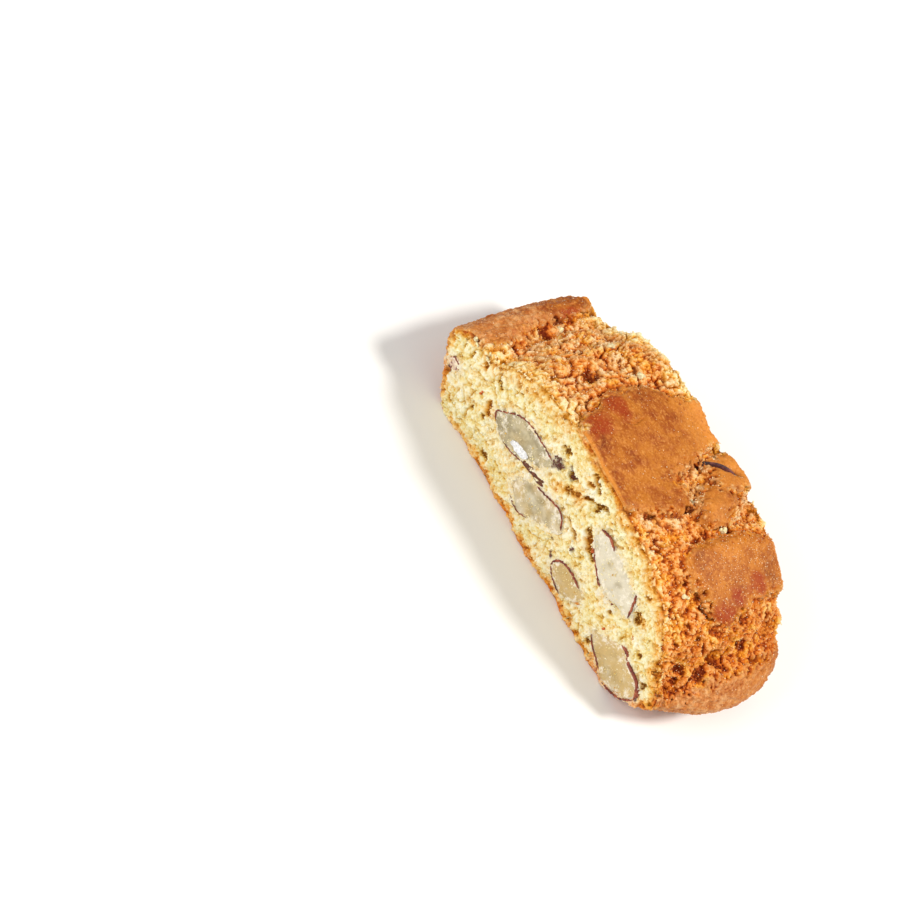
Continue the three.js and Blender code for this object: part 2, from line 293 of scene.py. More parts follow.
count = len(fine.vertices)
place = np.zeros(count * 3)
facing = np.zeros(count * 3)
fine.vertices.foreach_get("co", place)
fine.vertex_normals.foreach_get("vector", facing)
place, facing = place.reshape(-1, 3), facing.reshape(-1, 3)
points = (place - np.array(loaf_middle)) / mm
along, through, height = points.T
crust_depth = np.array([crust_tree.find_nearest(Vector(p))[3] for p in place]) / mm

# Which part of the slice each point belongs to
cut = ramp(np.abs(facing[:, 1]), 0.5, 0.85) * (np.abs(through) > 13)
base = ramp(-facing[:, 2], 0.6, 0.9) * (height < 1)
broad_waves = waves(points, 4, 1)
small_waves = waves(points, 1.3, 3)
drift = np.stack([broad_waves + 0.45 * small_waves, waves(points, 4, 2) + 0.45 * waves(points, 1.3, 4)], 1)
plan = points[:, :2] + drift * 0.6
plate_depth = np.max([depth_inside(plan, outline) for outline in plates.values()], axis=0)
flank = 1 - ramp(height + 1.2 * broad_waves, 8.5, 11)
ragged = plate_depth + 2.2 * small_waves + 1.6 * waves(points, 0.6, 16)
plate = np.maximum(ramp(ragged, -1, 1), flank) * (1 - cut)

# Relief in mm of the open crumb, of the torn crust and of the smooth plates
swell = waves(points, 5.5, 5, 2)
warp = np.stack([waves(points, 0.7, seed, 2) for seed in (24, 25, 26)], 1)
lump = clods(points + np.c_[drift, drift[:, 0]] * 0.8 + warp * 0.5, 2.1, 6)
pebble = clods(points + np.c_[drift, drift[:, 0]] * 0.4 + warp * 0.35, 1.1, 8)
grain = clods(points + warp * 0.15, 0.58, 7)
coarse = ramp(-along + 7 * waves(points, 7, 27), 14, 30)
grit = 0.5 - np.abs(waves(points, 0.7, 9, 2))
crevice = np.exp(-((waves(points + np.c_[drift, drift[:, 1]] * 0.5, 2.6, 12) / 0.09) ** 2))
crevice *= ramp(waves(points, 4.5, 13), -0.15, 0.3)
hole = np.zeros(count)
for x, y, z, reach, depth in crust_holes + crumb_holes:
    away = np.linalg.norm(points - (x, y, z), axis=1)
    away += 0.5 * broad_waves + 0.5 * small_waves + 0.35 * warp[:, 0]
    hole = np.maximum(hole, depth * ramp(away, reach * 1.3, reach * 0.2))
wavy = points[:, [0, 2]] + drift * 0.4
for depth, width, line in crumb_gaps:
    away = away_from_line(wavy, line) + 0.5 * small_waves + 0.35 * warp[:, 0]
    hole = np.maximum(hole, depth * (through < -13) * ramp(away, width * 1.7, width * 0.2))
bump = np.zeros(count)
for x, y, z, reach, rise in proud_lumps:
    bump = np.maximum(bump, rise * ramp(np.linalg.norm(points - (x, y, z), axis=1), reach, 0))

rough = waves(points, 1.2, 20, 4)
fine_lumps = 0.16 * (pebble - 0.6) + 0.3 * (grain - 0.6) + 0.28 * (grit - 0.3) + 0.28 * rough
crumb_relief = (0.3 * swell + (0.16 + 0.4 * coarse) * (lump - 0.6) + fine_lumps
                - (0.4 + 0.4 * coarse) * crevice)
torn_relief = 0.45 * swell + 0.4 * (lump - 0.6) + 1.25 * fine_lumps - 0.9 * crevice
near_edge = np.exp(-np.maximum(plate_depth, 0) / 1.6)
plate_relief = (0.14 * waves(points, 3, 10, 2) + 0.07 * grit + 0.12 * rough) * (0.8 + 1.2 * near_edge)
streaks = waves(points * (1, 0.3, 1), 1.3, 28, 3)
outer_ends = ramp(np.abs(along) + broad_waves, 35, 37)
plate_relief += outer_ends * (0.22 * streaks + 0.16 * (grain - 0.6) + 0.12 * rough)
step = (0.4 * ramp(ragged, -1.2, 0.8)
        - 0.45 * np.exp(-(((plate_depth + 1) / 0.6) ** 2)) * ramp(broad_waves, -0.2, 0.3))
crust_relief = plate * plate_relief + (1 - plate) * torn_relief + step * (1 - flank)
crack_depth = 0.7 * np.exp(-((away_from_line(points[:, :2], crack) / 0.22) ** 2)) * (height > 20)
crack_depth += 1.5 * np.exp(-((away_from_line(points[:, :2], flap_slit) / 0.85) ** 2)) * (height > 20)
near_plate = ramp(plate_depth, -1.5, 0.5)
torn_side = (1 - near_plate) * (height > 12)
worn_edge = torn_side * np.exp(-((np.where(cut > 0.5, crust_depth, face_at - np.abs(through)) / 1.1) ** 2))
worn_edge *= 1.6 - pebble + 0.8 * small_waves
relief = cut * crumb_relief + (1 - cut) * (crust_relief - crack_depth) - hole + bump - 0.75 * worn_edge
relief = relief * (1 - base) + base * (np.minimum(0, 0.08 * swell + 0.04 * grit) - 0.05)
place = place + facing * (relief * mm)[:, None]
place[:, 2] = np.maximum(place[:, 2], 0)

# How far each point stands above its surroundings. The finishes turn this into painted shade: crevices and
# holes hold the darker tones, and crests the pale ones. The torn dough at the right end is painted darker
# too, as shade from its big holes.
edge_ends = np.zeros(len(fine.edges) * 2, int)
fine.edges.foreach_get("vertices", edge_ends)
edge_from, edge_to = edge_ends.reshape(-1, 2).T
neighbours = np.bincount(edge_ends, minlength=count)


def spread_out(values, rounds):
    """Values averaged over each point's neighbours, round after round."""
    for _ in range(rounds):
        values = (np.bincount(edge_from, values[edge_to], count)
                  + np.bincount(edge_to, values[edge_from], count)) / neighbours
    return values


surroundings = spread_out(relief, 50)
shaded_right_end = ramp(along + broad_waves, 32, 37) * (1 - plate) * (height > 8)
contrast = 0.22 + 0.06 * cut
crest = np.clip(
    0.53 + 0.47 * np.tanh((relief - surroundings) / contrast) - 0.35 * hole - 0.12 * shaded_right_end, 0, 1)

# How far the dough is browned, fully at the torn crust and hardly in the middle of a cut face, together with
# painted shade in some hollows of the front cut face
low = 1 - ramp(height, 6, 9)
browned_width = 2.4 + (2.2 - 1.2 * ramp(along, -4, 6)) * torn_side - 0.5 * near_plate * (1 - low)
browned_most = 1 - (0.5 - 0.3 * ramp(along, -4, 6)) * torn_side
crumb_brown = browned_most * np.clip(
    1 - (crust_depth + 1.1 * broad_waves + 0.7 * small_waves) / browned_width, 0, 1) ** 0.8
# Painted shade: the crumb in these hollows is painted golden brown to stand for the shade in them.
for x, y, z, reach in painted_shade_hollows:
    away = np.linalg.norm(points - (x, y, z), axis=1) + 1.2 * broad_waves + 0.8 * small_waves
    crumb_brown = np.maximum(crumb_brown, 0.34 * ramp(away, reach, reach * 0.3))
from_face = face_at - np.abs(through) + 2 * broad_waves + 1.3 * small_waves
quick = ramp(along, -4, 6)
torn_brown = 0.32 + 0.14 * quick + (0.68 - 0.14 * quick) * ramp(from_face, -0.6, 7 - 5.2 * quick)
torn_brown = np.clip(torn_brown + 0.3 * waves(points, 3, 14), 0, 1)
brown = cut * crumb_brown + (1 - cut) * torn_brown
deep = 0.22 * ramp(along + 2 * broad_waves, 10, 22) + 0.1 * ramp(along, 32, 37)
red = np.zeros(count)
for x, y, reach in red_patches:
    red = np.maximum(red, ramp(np.hypot(*(points[:, :2] + drift * 1.6 - (x, y)).T), reach, 0))
plate_edge = np.exp(-((np.maximum(plate_depth, 0) / 0.8) ** 2)) * (height > 9)
front_edge = ramp(np.abs(through) + 0.4 * broad_waves, 14.6, 15.8)
# Painted light: the back part of the plates is painted a paler golden, standing for the light that falls on
# the crust's curve there.
painted_light_back = ramp(through + 2 * broad_waves, 4, 15) * (along > -14) * (along < 16) * 0.8
right_side = 0.3 * ramp(along + 2 * broad_waves, 16, 19)
for x, y, reach in golden_patches:
    away = np.hypot(*(points[:, :2] + drift - (x, y)).T)
    right_side = np.maximum(right_side, 0.6 * ramp(away, reach, reach / 2))
left_side = 0.6 * ramp(-along, 35, 38) * ramp(-through + 3 * broad_waves, -8, 2)
golden = np.maximum.reduce([plate_edge * 0.6, front_edge, painted_light_back, right_side]) * plate
end = outer_ends * (along > 0) * ramp(height, 3, 7) * (0.4 + 0.5 * ramp(3 * broad_waves - through, -6, 8))
end = np.maximum(end, 1.2 * left_side)


def point_value(mesh, name, values):
    mesh.attributes.new(name, "FLOAT", "POINT").data.foreach_set("value", values.astype(np.float32))


def node_chain(finish):
    """The material's tree and shader, and a function that adds a node with its settings, values and links."""
    tree = finish.node_tree

    def add(kind, **settings):
        node = tree.nodes.new("ShaderNode" + kind)
        for key, value in settings.items():
            if key.startswith("socket_"):
                socket = node.inputs[int(key[7:])]
            elif key in node.inputs:
                socket = node.inputs[key]
            else:
                setattr(node, key, value)
                continue
            if isinstance(value, bpy.types.NodeSocket):
                tree.links.new(value, socket)
            else:
                socket.default_value = value
        return node

    return tree, tree.nodes["Principled BSDF"], add


def colour(red, green, blue):
    """An sRGB colour from 0 to 255 as a linear colour."""
    return tuple((c / 255) ** 2.2 for c in (red, green, blue)) + (1,)


def blend(add, share, low, high):
    """Mixes two colours by a share."""
    return add("MixRGB", socket_0=share, socket_1=low, socket_2=high).outputs["Color"]


def share_of(add, value, low, high, to_low=0.0, to_high=1.0):
    """Maps a value's range to a share."""
    node = add("MapRange", Value=value, interpolation_type="SMOOTHSTEP")
    for name, number in (("From Min", low), ("From Max", high), ("To Min", to_low), ("To Max", to_high)):
        node.inputs[name].default_value = number
    return node.outputs["Result"]


def tone_ramp(add, value, stops):
    """A run of colours over a value from 0 to 1."""
    node = add("ValToRGB", Fac=value)
    stretch = node.color_ramp
    stretch.elements[0].position, stretch.elements[0].color = stops[0][0], colour(*stops[0][1])
    stretch.elements[1].position, stretch.elements[1].color = stops[-1][0], colour(*stops[-1][1])
    for position, tone in stops[1:-1]:
        stretch.elements.new(position).color = colour(*tone)
    return node.outputs["Color"]


def grains(add, size, detail=2.0, roughness=0.6):
    """Noise on the object's own coordinates, with swells about size mm across."""
    at = add("TexCoord").outputs["Object"]
    return add("TexNoise", Vector=at, Scale=1 / (size * mm), Detail=detail,
               Roughness=roughness).outputs["Fac"]


def attribute(add, name):
    return add("Attribute", attribute_name=name).outputs["Fac"]


def torn_dough_tone(add, depth, brown):
    """Colours of broken dough from the pits up to the highest grains, pale or browned, with painted shade
    darkening the pits and painted light paling the highest grains.
    """
    pale = tone_ramp(add, depth, [
        (0, (116, 70, 18)), (0.1, (188, 136, 50)), (0.22, (222, 180, 88)), (0.42, (234, 210, 136)),
        (0.64, (242, 228, 172)), (1, (254, 250, 222))])
    floury = tone_ramp(add, depth, [
        (0, (140, 94, 40)), (0.1, (206, 162, 92)), (0.22, (232, 196, 128)), (0.42, (242, 218, 160)),
        (0.64, (248, 234, 190)), (1, (255, 252, 234))])
    toasted = tone_ramp(add, depth, [
        (0, (120, 70, 12)), (0.2, (196, 128, 34)), (0.42, (228, 178, 84)),
        (0.64, (240, 206, 122)), (1, (252, 236, 176))])
    pale = blend(add, share_of(add, grains(add, 5, 3), 0.5, 0.62, 0, 0.8), pale, floury)
    pale = blend(add, share_of(add, grains(add, 2.6, 3), 0.45, 0.35, 0, 0.6), pale, toasted)
    baked = tone_ramp(add, depth, [
        (0, (116, 42, 8)), (0.24, (176, 78, 18)), (0.5, (212, 114, 36)), (0.75, (228, 142, 62)),
        (1, (244, 190, 120))])
    amber = tone_ramp(add, depth, [
        (0, (146, 66, 8)), (0.24, (202, 108, 14)), (0.5, (228, 142, 36)), (0.75, (240, 170, 70)),
        (1, (252, 212, 130))])
    tan = tone_ramp(add, depth, [
        (0, (124, 62, 28)), (0.24, (180, 106, 50)), (0.5, (212, 148, 80)), (0.75, (230, 178, 112)),
        (1, (250, 222, 176))])
    tan_share = add("Math", operation="SUBTRACT", socket_0=grains(add, 3.4, 2),
                    socket_1=attribute(add, "deep"))
    baked = blend(add, share_of(add, grains(add, 2.7, 2), 0.5, 0.6, 0, 0.9), baked, amber)
    baked = blend(add, share_of(add, tan_share.outputs[0], 0.44, 0.6, 0, 0.9), baked, tan)
    golden = tone_ramp(add, depth, [
        (0, (150, 84, 12)), (0.24, (216, 140, 34)), (0.5, (236, 174, 78)), (0.75, (244, 204, 122)),
        (1, (254, 236, 186))])
    edge = blend(add, share_of(add, brown, 0, 0.5), pale, golden)
    return blend(add, share_of(add, brown, 0.4, 1), edge, baked)


def dough_finish(name):
    finish = bpy.data.materials.new(name)
    finish.use_nodes = True
    tree, shader, add = node_chain(finish)
    speck = grains(add, 0.42, 2)
    patch = grains(add, 3.2, 3)
    broad = grains(add, 9, 2)
    # Painted shade and light: the crest value, broken up by a fine speck, runs the dough's tones from dark in
    # the pits to pale on the tops.
    depth = add("Math", operation="MULTIPLY_ADD", socket_0=speck, socket_1=0.5,
                socket_2=attribute(add, "crest"))
    depth = add("Math", operation="SUBTRACT", socket_0=depth.outputs[0], socket_1=0.25).outputs[0]
    dough = torn_dough_tone(add, depth, attribute(add, "brown"))
    dough = blend(add, attribute(add, "dust"), dough, colour(236, 224, 204))
    dough = blend(add, attribute(add, "stain"), dough, colour(94, 58, 56))
    mix = add("Math", operation="ADD", socket_0=broad, socket_1=patch).outputs[0]
    mix = add("Math", operation="MULTIPLY", socket_0=mix, socket_1=0.5).outputs[0]
    smooth = tone_ramp(add, mix, [(0.36, (126, 54, 14)), (0.46, (157, 78, 22)), (0.58, (190, 112, 38))])
    smooth = blend(add, share_of(add, grains(add, 1.1, 3), 0.5, 0.66, 0, 0.4), smooth, colour(220, 142, 66))
    # The golden share includes painted light on the plates' back part.
    smooth = blend(add, share_of(add, attribute(add, "golden"), 0, 1, 0, 0.8), smooth, colour(226, 143, 58))
    end_tone = tone_ramp(add, grains(add, 1.6, 4, 0.7), [
        (0.36, (172, 92, 40)), (0.5, (202, 128, 70)), (0.64, (234, 180, 124))])
    smooth = blend(add, attribute(add, "end"), smooth, end_tone)
    smooth = blend(add, share_of(add, attribute(add, "red"), 0, 0.8, 0, 0.85), smooth, colour(156, 54, 16))
    smooth = blend(add, share_of(add, speck, 0.54, 0.7, 0, 0.45), smooth, colour(232, 164, 88))
    smooth = blend(add, share_of(add, speck, 0.44, 0.3, 0, 0.45), smooth, colour(134, 54, 14))
    # Painted shade: where the crust's relief sinks into cracks and holes, the plate is painted dark brown.
    smooth = blend(add, share_of(add, attribute(add, "relief"), -0.25, -0.9, 0, 0.8), smooth,
                   colour(116, 50, 16))
    tone = blend(add, attribute(add, "plate"), dough, smooth)
    tree.links.new(tone, shader.inputs["Base Color"])
    rough = share_of(add, attribute(add, "plate"), 0, 1, 0.85, 0.5)
    tree.links.new(rough, shader.inputs["Roughness"])
    shader.inputs["Specular IOR Level"].default_value = 0.2
    fade = share_of(add, attribute(add, "plate"), 0, 1, 0.8, 0.5)
    bump = add("Bump", Strength=fade, Distance=0.16 * mm, Height=grains(add, 0.3, 4, 0.75))
    tree.links.new(bump.outputs["Normal"], shader.inputs["Normal"])
    return finish


def piece_of(bm, name, finish):
    """A finished bmesh as a piece of the slice."""
    mesh = bpy.data.meshes.new(name)
    bm.to_mesh(mesh)
    bm.free()
    mesh.shade_smooth()
    piece = bpy.data.objects.new(name, mesh)
    bpy.context.scene.collection.objects.link(piece)
    mesh.materials.append(finish)
    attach(piece, "root")
    return piece


# Cut almonds
# Whole almonds baked in the loaf and sliced with it: ivory kernels in a thin red-brown skin that the knife
# has torn and left in strips along their rims. The outlines are in x and z on the cut faces.
almond_outlines = {
    "almond_front_1": [(-25.2, 12.4), (-22.2, 17.1), (-20.2, 18.5), (-15.2, 19.5), (-9.9, 19.8), (-9, 18.2),
                       (-10.7, 15.3), (-13.5, 13.8), (-14.9, 12.2), (-18.5, 10.2), (-20.9, 9.9),
                       (-23.6, 10.9)],
    "almond_front_2": [(-12.3, 6.7), (-12, 9.4), (-10.1, 11.4), (-7.8, 12.5), (-5, 14), (-1.8, 14.6),
                       (1.1, 13.1), (2.1, 11.4), (1.2, 9.7), (-1.4, 8.9), (-4.8, 5.5), (-7.3, 3.6),
                       (-9.7, 4.7)],
    "almond_front_3": [(6.7, 19.8), (6.9, 22.4), (9.6, 23.1), (12, 22.3), (15.5, 22.1), (18.9, 21.4),
                       (21.3, 22.1), (23, 17.6), (23.6, 16.2), (20.9, 15), (17.6, 14.3), (14.9, 14.1),
                       (12.1, 15.6), (9.3, 17.5)],
    "almond_front_4": [(5.4, 4.8), (5.6, 5.9), (6.6, 8), (8.7, 8.6), (11, 8.6), (13, 8.5), (14.7, 7.7),
                       (14.1, 5.2), (11.1, 2.9), (8.1, 3.1), (6.2, 4)],
    "almond_front_5": [(20.7, 5.5), (21.3, 6.6), (23.8, 8.5), (26.2, 10.9), (28.1, 11.6), (30.5, 10.3),
                       (32.7, 10.2), (34.7, 9.7), (36.5, 7.2), (35.9, 4.8), (34.3, 3), (32.6, 2.1), (30, 1),
                       (28, 1.6), (25.8, 2.4), (22.6, 3.7)],
    "almond_front_6": [(-39.9, 9), (-38.9, 10), (-37.4, 9.8), (-36.7, 8.8), (-37.7, 7.7), (-39.2, 7.7)],
}


def kernel_outline(x, z, length, width, turn):
    """The pointed oval of a kernel that was cut through, from its middle, size and turn in degrees."""
    outline = []
    for step in range(24):
        angle = math.radians(15 * step)
        taper = 1 - 0.28 * (math.cos(angle) + 1) / 2
        u, w = length / 2 * math.cos(angle), width / 2 * math.sin(angle) * taper
        c, s = math.cos(math.radians(turn)), math.sin(math.radians(turn))
        outline.append((x + u * c - w * s, z + u * s + w * c))
    return outline


almond_outlines["almond_back_1"] = kernel_outline(24.5, 12.4, 16.6, 8.2, 152)
almond_outlines["almond_back_2"] = kernel_outline(1.2, 19.4, 15.6, 8, 12)
almond_outlines["almond_back_3"] = kernel_outline(-22.6, 13.4, 17.2, 8.4, 38)
almond_outlines["almond_back_4"] = kernel_outline(5.4, 6.2, 12.4, 6, 172)

# Each kernel leaves its pocket in the crumb.
pocket_depth = 1.6
in_pocket = np.zeros(count, bool)
dust = np.zeros(count)
for name, outline in almond_outlines.items():
    side = -1 if "front" in name else 1
    at_face = through * side > 13
    inside = np.full(count, -9.0)
    wobble = 0.5 * waves(points[at_face], 1.5, 15) + 0.3 * waves(points[at_face], 0.6, 18)
    inside[at_face] = depth_inside(points[at_face][:, [0, 2]], outline) + wobble
    dust = np.maximum(dust, 0.75 * ramp(inside + 1.2 * broad_waves, -2.4, -0.2) * cut * crest)
    sunk = ramp(inside, 0.0, 0.5) * cut
    place[:, 1] -= side * sunk * pocket_depth * mm
    in_pocket |= inside > 0.2

# Scraps of almond skin are ground into the dough at these places, as x, y, z and reach.
stained = [(-8.8, -16, 20.3, 1.9), (-6.2, -16, 21.4, 1.6), (6, -16, 13.5, 0.9), (1.6, -16, 8.2, 0.7),
           (3.7, -16, 5.9, 0.9), (20, -16, 20.8, 1.1), (21.9, -16, 19.8, 1.2), (36.6, -16, 7, 0.9),
           (19.5, 11, 30.2, 1), (-38.6, -16, 7.4, 0.8)]
stain = np.zeros(count)
for x, y, z, reach in stained:
    away = np.linalg.norm(points - (x, y, z), axis=1) + 0.9 * small_waves + 0.5 * waves(points, 0.5, 19)
    stain = np.maximum(stain, 0.8 * ramp(away, reach, reach * 0.3))

looks = {"plate": plate, "brown": brown, "relief": relief, "crest": crest, "dust": dust, "deep": deep,
         "stain": stain, "red": red, "golden": golden, "end": end}
for name, values in looks.items():
    point_value(fine, name, values)
place[:, 1] = np.clip(place[:, 1], loaf_middle.y - 17 * mm, loaf_middle.y + 17 * mm)
fine.vertices.foreach_set("co", place.ravel())


def part_of_slice(name, keep, finish):
    """The faces that keep allows, closed behind: their rim is drawn into the slice and filled."""
    wall = 3
    bm = bmesh.new()
    bm.from_mesh(fine)
    bmesh.ops.delete(bm, geom=[f for f in bm.faces if not keep[f.index]], context="FACES")
    rim = [e for e in bm.edges if e.is_boundary]
    walls = bmesh.ops.extrude_edge_only(bm, edges=rim)["geom"]
    for v in walls:
        if isinstance(v, bmesh.types.BMVert):
            x, y, z = (v.co - loaf_middle) / mm
            if abs(y) < 12.5 and z > 6:    # on the dome, away from the cut faces
                v.co.z -= wall * mm
            else:
                towards_core = Vector((max(-30, min(30, x)) - x, 0, 11 - z)).normalized() * wall
                v.co += (towards_core - Vector((0, 0.2 * y, 0))) * mm
    loops = [e for e in walls if isinstance(e, bmesh.types.BMEdge) and e.is_boundary]
    caps = bmesh.ops.holes_fill(bm, edges=loops, sides=0)["faces"]
    bmesh.ops.triangulate(bm, faces=caps)
    return piece_of(bm, name, finish)


corner = np.zeros(len(fine.loops), int)
fine.loops.foreach_get("vertex_index", corner)
corner = corner.reshape(-1, 4)
is_crumb = (crust_depth > 0.8) & (np.abs(through) > 13) | in_pocket
is_crumb = spread_out(is_crumb.astype(float), 8) > 0.5
is_torn = spread_out((~is_crumb & (plate < 0.5) & (height > 6)).astype(float), 8) > 0.5
crumb_face = is_crumb[corner].sum(1) >= 3
face_through = through[corner].mean(1)
in_front, behind = crumb_face & (face_through < 0), crumb_face & (face_through > 0)
below = (base[corner].min(1) > 0.5) & ~crumb_face
crust_look, crumb_look = dough_finish("crust"), dough_finish("crumb")
torn_face = (is_torn[corner].sum(1) >= 3) & ~(crumb_face | below)
crust = part_of_slice("crust", ~(crumb_face | below | torn_face), crust_look)
torn_dough = part_of_slice("torn_dough", torn_face, crust_look)
underside = part_of_slice("underside", below, crust_look)
crumb_front = part_of_slice("crumb_front", in_front, crumb_look)
crumb_back = part_of_slice("crumb_back", behind, crumb_look)
for piece in (crust, torn_dough, underside, crumb_front, crumb_back):
    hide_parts("biscuit")


def kernel_finish():
    finish = bpy.data.materials.new("almond")
    finish.use_nodes = True
    tree, shader, add = node_chain(finish)
    tone = tone_ramp(add, grains(add, 3, 3), [
        (0.36, (152, 138, 106)), (0.47, (170, 156, 122)), (0.58, (190, 176, 140))])
    tone = blend(add, share_of(add, attribute(add, "warm"), 0, 1, 0, 0.8), tone, colour(206, 172, 108))
    tone = blend(add, share_of(add, attribute(add, "white"), 0, 1, 0, 0.8), tone, colour(226, 217, 194))
    powder = add("Math", operation="MULTIPLY_ADD", socket_0=attribute(add, "rimward"), socket_1=0.22,
                 socket_2=grains(add, 1.3, 4, 0.7)).outputs[0]
    tone = blend(add, share_of(add, powder, 0.64, 0.82, 0, 0.9), tone, colour(242, 233, 214))
    tree.links.new(tone, shader.inputs["Base Color"])
    shader.inputs["Roughness"].default_value = 0.5
    shader.inputs["Specular IOR Level"].default_value = 0.4
    bump = add("Bump", Strength=0.5, Distance=0.12 * mm, Height=grains(add, 0.45, 4, 0.7))
    tree.links.new(bump.outputs["Normal"], shader.inputs["Normal"])
    return finish


kernel_look = kernel_finish()
warmth = {"almond_front_2": 0.4, "almond_front_4": 0.9, "almond_front_5": 0.9, "almond_back_2": 0.5}
whiteness = {"almond_front_3": 0.9, "almond_front_2": 0.3, "almond_back_1": 0.6, "almond_back_4": 0.3}


def kernel(name, outline):
    """A kernel laid open at a cut face: a flat, slightly broken face over a rounded body."""
    side = -1 if "front" in name else 1
    middle = np.mean(outline, axis=0)
    spokes = np.array(outline) - middle
    angles = np.arctan2(spokes[:, 1], spokes[:, 0])
    order = np.argsort(angles)
    turns = np.radians(np.arange(0, 360, 2) - 180)
    reach = np.interp(turns, angles[order], np.hypot(*spokes[order].T), period=2 * math.pi)
    soft = np.convolve(np.r_[reach[-3:], reach, reach[:3]], np.ones(7) / 7, "valid")
    bm = bmesh.new()
    bmesh.ops.create_uvsphere(bm, u_segments=150, v_segments=72, radius=1)
    rimward = bm.verts.layers.float.new("rimward")
    warm = bm.verts.layers.float.new("warm")
    white = bm.verts.layers.float.new("white")
    for v in bm.verts:
        out, turn = math.hypot(v.co.x, v.co.y), math.atan2(v.co.y, v.co.x)
        far = math.atan2(out, abs(v.co.z)) / (math.pi / 2)
        full = np.interp(turn, turns, soft, period=2 * math.pi) + 0.22
        x = middle[0] + full * far * math.cos(turn)
        z = middle[1] + full * far * math.sin(turn)
        at = Vector((x, z, side * 4))
        if v.co.z >= 0:
            broken = 0.26 * noise.fractal(at / 2.4, 0.6, 2.1, 3) + 0.08 * noise.fractal(at / 0.7, 0.6, 2, 3)
            y = face_at + 0.05 + broken - 0.5 * max(0, far - 0.86) / 0.14 * 0.6
            v[rimward] = far
        else:
            y = face_at - 0.3 - (pocket_depth - 0.35) * math.sqrt(max(0, 1 - far ** 4))
            v[rimward] = 1
        v[warm] = warmth.get(name, 0) + 0.6 * noise.noise(at / 3)
        v[white] = whiteness.get(name, 0) + 0.7 * noise.noise(at / 2)
        v.co = loaf_middle + Vector((x, side * y, z)) * mm
    bmesh.ops.recalc_face_normals(bm, faces=bm.faces)
    look, slot = (floury_skin, "almond_skin") if name == "almond_front_6" else (kernel_look, "almond")
    piece = piece_of(bm, "kernel_" + name.removeprefix("almond_"), look)
    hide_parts(name)


def skin_finish(name, stops):
    finish = bpy.data.materials.new(name)
    finish.use_nodes = True
    tree, shader, add = node_chain(finish)
    tone = tone_ramp(add, grains(add, 1.6, 3), stops)
    tree.links.new(tone, shader.inputs["Base Color"])
    shader.inputs["Roughness"].default_value = 0.6
    bump = add("Bump", Strength=0.6, Distance=0.1 * mm, Height=grains(add, 0.3, 3, 0.7))
    tree.links.new(bump.outputs["Normal"], shader.inputs["Normal"])
    return finish


skin_look = skin_finish("almond_skin", [(0.36, (84, 36, 36)), (0.5, (130, 56, 40)), (0.64, (172, 92, 58))])
floury_skin = skin_finish("floury_skin", [(0.38, (120, 62, 66)), (0.46, (206, 174, 150)),
                                          (0.6, (240, 226, 200))])
for name, outline in almond_outlines.items():
    kernel(name, outline)

# Almond skins
# The kernels' thin brown skin, cut through with them: wavering lines along their rims, wider where it lies
# aslant, and a curled flake under the first kernel. Lines are in x and z, with widths in mm.
skin_lines = [
    (0.3, [(-40, 9.3), (-39, 10.1), (-37.4, 10), (-36.6, 8.8)]),
    (0.32, [(-23.9, 11.5), (-25.1, 13), (-23.6, 15.1), (-21.6, 17.5), (-20.1, 18.7), (-18.2, 19.5),
            (-16.1, 19.8), (-14.3, 19.8), (-12.2, 19.9), (-9.9, 19.7)]),
    (0.26, [(-19.6, 10.3), (-17.2, 10.7), (-15.1, 11.6), (-13.3, 12.7)]),
    (0.4, [(-8.2, 12.4), (-5.8, 13.3), (-2.9, 14.4), (-1.4, 14.7), (0.2, 13.9), (1.7, 12)]),
    (0.24, [(-10.7, 4.4), (-8.6, 3.8), (-6.8, 4), (-5, 5.2)]),
    (0.5, [(5.3, 4.8), (5.5, 6.4), (6.5, 8), (8.4, 8.7), (10.4, 8.8), (12.8, 8.4)]),
    (0.34, [(5.6, 4.6), (7, 3.6), (9, 2.9), (11, 2.7)]),
    (0.4, [(8.4, 18.1), (9.8, 17), (11.9, 15.7), (14.6, 14.1), (17.4, 14), (20.6, 14.8)]),
    (0.62, [(7, 22.5), (8.2, 23), (9.4, 23.3), (10.4, 23.1), (11.8, 22.4)]),
    (0.5, [(21, 22), (21.8, 20.4), (22.6, 18.6), (23.4, 16.4)]),
    (0.36, [(21.2, 5.2), (23, 3.8), (25.3, 2.9), (27.5, 2)]),
    (0.8, [(26.6, 11.3), (28.6, 11.4), (30.7, 10.2), (32.8, 10), (34.9, 9.2), (36.3, 7.1)]),
    (0.44, [(29.9, 0.9), (31.6, 1.4), (33.2, 2.1), (35, 3.6), (36.4, 6)]),
]


def even_points(line, spacing):
    """Points at even spacing along a smooth curve through the corners of a line."""
    corners = [2 * Vector(line[0]) - Vector(line[1]), *map(Vector, line),
               2 * Vector(line[-1]) - Vector(line[-2])]
    out = []
    for p0, p1, p2, p3 in zip(corners, corners[1:], corners[2:], corners[3:]):
        steps = max(1, round((p2 - p1).length / spacing))
        for t in (i / steps for i in range(steps)):
            out.append(0.5 * (2 * p1 + (p2 - p0) * t + (2 * p0 - 5 * p1 + 4 * p2 - p3) * t * t
                              + (3 * p1 - p0 - 3 * p2 + p3) * t ** 3))
    return out + [Vector(line[-1])]


